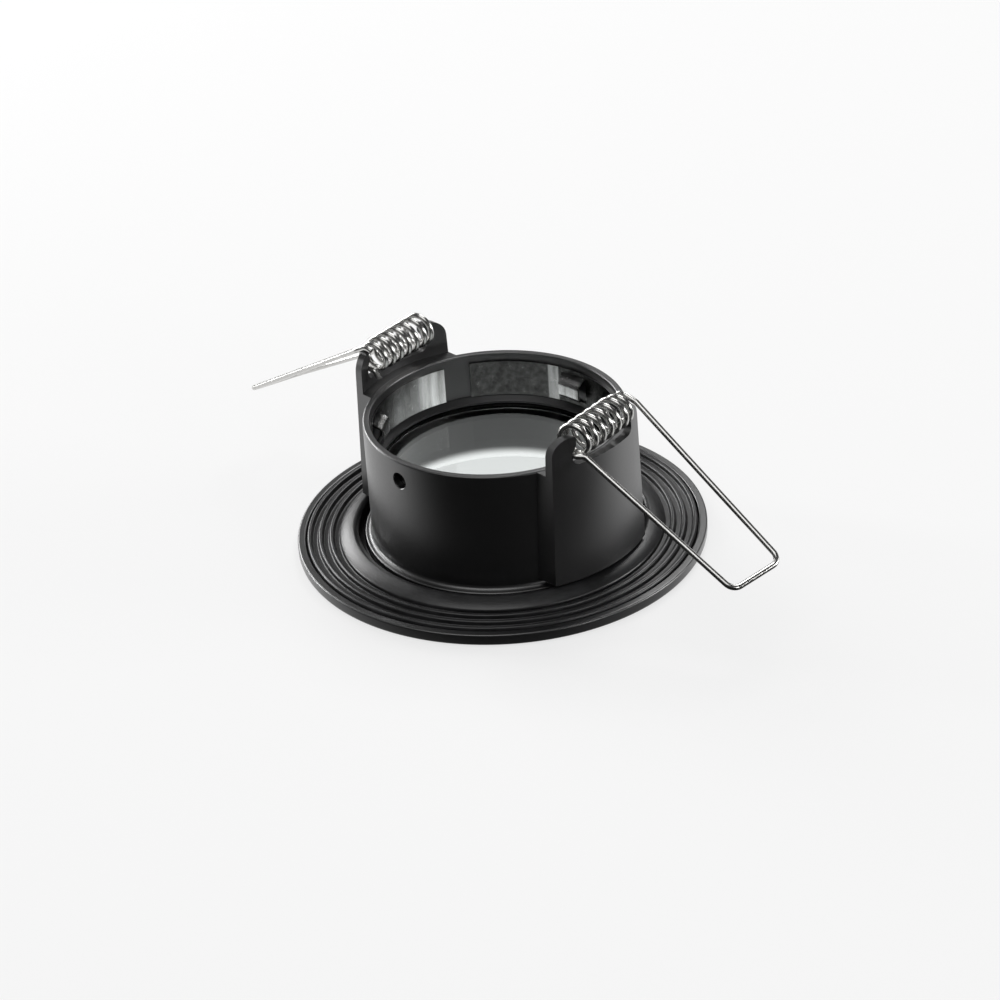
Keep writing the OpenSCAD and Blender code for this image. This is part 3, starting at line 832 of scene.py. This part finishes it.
def make_stage():
    """A floor that is pale to the camera and through glass, mostly dim in what mirrors it, and shadowed."""
    bm = bmesh.new()
    bmesh.ops.create_grid(bm, x_segments=1, y_segments=1, size=FLOOR_HALF)
    bmesh.ops.translate(bm, verts=bm.verts, vec=(0, 0, FLOOR_Z))
    mesh = bpy.data.meshes.new("floor")
    bm.to_mesh(mesh)
    bm.free()
    floor = bpy.data.objects.new("floor", mesh)
    bpy.context.scene.collection.objects.link(floor)
    material, tree, place = new_material("pale_floor")
    paper = add(tree, "ShaderNodeBsdfDiffuse", {"Color": linear("#e4e4e4")})
    back = add(tree, "ShaderNodeVectorMath", {0: place, 1: FLOOR_BACKWARDS}, operation="DOT_PRODUCT")
    light = add(tree, "ShaderNodeMapRange", {
        "Value": back.outputs["Value"], "From Min": FLOOR_EDGE[0], "From Max": FLOOR_EDGE[1],
        "To Min": FLOOR_IN_GLOSS[0], "To Max": FLOOR_IN_GLOSS[1]}, interpolation_type="SMOOTHSTEP")
    dim = add(tree, "ShaderNodeEmission", {"Color": linear("#ffffff"), "Strength": light.outputs["Result"]})
    glow = add(tree, "ShaderNodeEmission", {"Color": linear(PALE), "Strength": 1.0})
    rays = add(tree, "ShaderNodeLightPath")
    base = add(tree, "ShaderNodeMixShader", {0: rays.outputs["Is Glossy Ray"], 1: paper.outputs[0],
                                             2: dim.outputs[0]})
    seen = add(tree, "ShaderNodeMath", {0: rays.outputs["Is Camera Ray"], 1: FLOOR_GLOW},
               operation="MULTIPLY")
    share = add(tree, "ShaderNodeMath", {0: seen.outputs[0], 1: rays.outputs["Is Transmission Ray"]},
                operation="MAXIMUM")
    mixed = add(tree, "ShaderNodeMixShader", {0: share.outputs[0], 1: base.outputs[0], 2: glow.outputs[0]})
    mesh.materials.append(finish_material(material, tree, mixed))


def make_world():
    """Pale to the camera and through glass, nearly dark in what mirrors it, and a soft light on the rest."""
    world = bpy.data.worlds.new("studio")
    bpy.context.scene.world = world
    world.use_nodes = True
    tree = world.node_tree
    tree.nodes.clear()
    rays = add(tree, "ShaderNodeLightPath")
    seen = add(tree, "ShaderNodeMath", {0: rays.outputs["Is Camera Ray"],
                                        1: rays.outputs["Is Transmission Ray"]}, operation="MAXIMUM")
    white = add(tree, "ShaderNodeBackground", {"Color": linear(PALE), "Strength": 1.0})
    soft = add(tree, "ShaderNodeBackground", {"Color": linear("#ffffff"), "Strength": WORLD_SOFT})
    dim = add(tree, "ShaderNodeBackground", {"Color": linear("#ffffff"), "Strength": WORLD_IN_GLOSS})
    lit = add(tree, "ShaderNodeMixShader", {0: rays.outputs["Is Glossy Ray"], 1: soft.outputs[0],
                                            2: dim.outputs[0]})
    mixed = add(tree, "ShaderNodeMixShader", {0: seen.outputs[0], 1: lit.outputs[0], 2: white.outputs[0]})
    add(tree, "ShaderNodeOutputWorld", {"Surface": mixed.outputs[0]})


def add_light(name, direction, distance, width, height, power):
    """A soft box that looks at the object, and that the camera doesn't see."""
    data = bpy.data.lights.new(name, "AREA")
    data.shape = "RECTANGLE"
    data.size = width
    data.size_y = height
    data.energy = power
    light = bpy.data.objects.new(name, data)
    place = Vector(direction).normalized() * distance
    light.location = place
    light.rotation_euler = (-place).to_track_quat("-Z", "Y").to_euler()
    light.visible_camera = False
    bpy.context.scene.collection.objects.link(light)


make_camera()
make_stage()
make_world()
for box, settings in SOFT_BOXES.items():
    add_light(box, *settings)
bpy.context.scene.view_settings.view_transform = "Standard"

black = satin_powder_coat()
plated = plated_wire()
make_housing(black)
make_gasket(moulded_rubber())
make_reflector(anodised_cone())
make_lens(clear_glass())
make_seal(silicone_seal())
make_retainer(rolled_strip())
make_clip("right", False, plated)
make_clip("left", True, plated)
